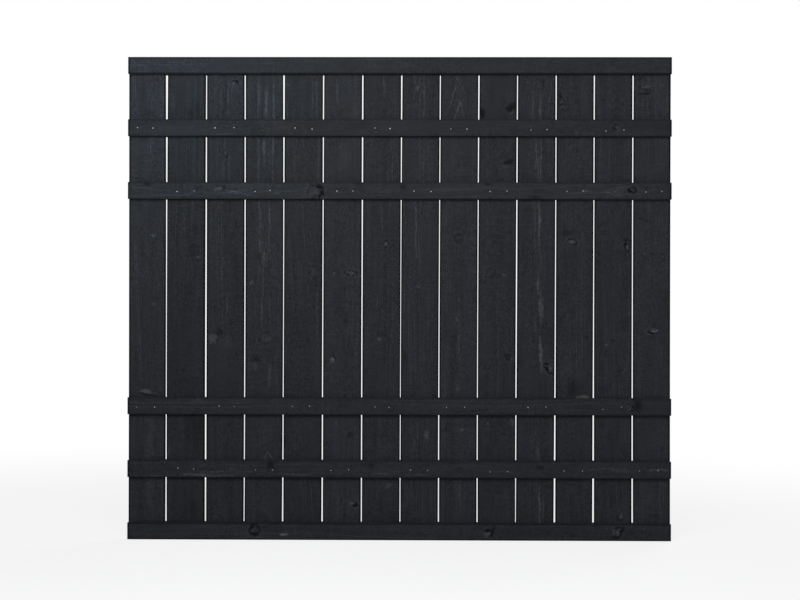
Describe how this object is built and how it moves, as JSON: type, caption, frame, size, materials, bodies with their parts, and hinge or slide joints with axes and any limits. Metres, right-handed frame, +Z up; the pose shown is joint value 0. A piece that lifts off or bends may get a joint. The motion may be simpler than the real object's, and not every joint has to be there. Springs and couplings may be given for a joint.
{
  "type": "windbreak panel",
  "caption": "Upright boards with narrow gaps, clamped between flat front and back rails at six levels, as a garden windbreak and screen panel.",
  "frame": {"origin": "middle of the foot, on the ground line, halfway through the panel's thickness", "axes": "+X along the panel to the right seen from the front, +Y towards the back, +Z up"},
  "size_m": [1.8, 0.052, 1.6],
  "materials": {
    "stained_board": "black wood stain on sawn softwood, matt with a faint sheen, grain and knots showing through",
    "stained_rail": "black wood stain on planed softwood battens, matt with a faint sheen, galvanised nail heads along the middle"
  },
  "bodies": {
    "root": {"board_01": "stained_board", "board_02": "stained_board", "board_03": "stained_board", "board_04": "stained_board", "board_05": "stained_board", "board_06": "stained_board", "board_07": "stained_board", "board_08": "stained_board", "board_09": "stained_board", "board_10": "stained_board", "board_11": "stained_board", "board_12": "stained_board", "board_13": "stained_board", "board_14": "stained_board", "top_rail_front": "stained_rail", "upper_outer_rail_front": "stained_rail", "upper_inner_rail_front": "stained_rail", "lower_inner_rail_front": "stained_rail", "lower_outer_rail_front": "stained_rail", "bottom_rail_front": "stained_rail", "top_rail_back": "stained_rail", "upper_outer_rail_back": "stained_rail", "upper_inner_rail_back": "stained_rail", "lower_inner_rail_back": "stained_rail", "lower_outer_rail_back": "stained_rail", "bottom_rail_back": "stained_rail"}
  },
  "joints": []
}
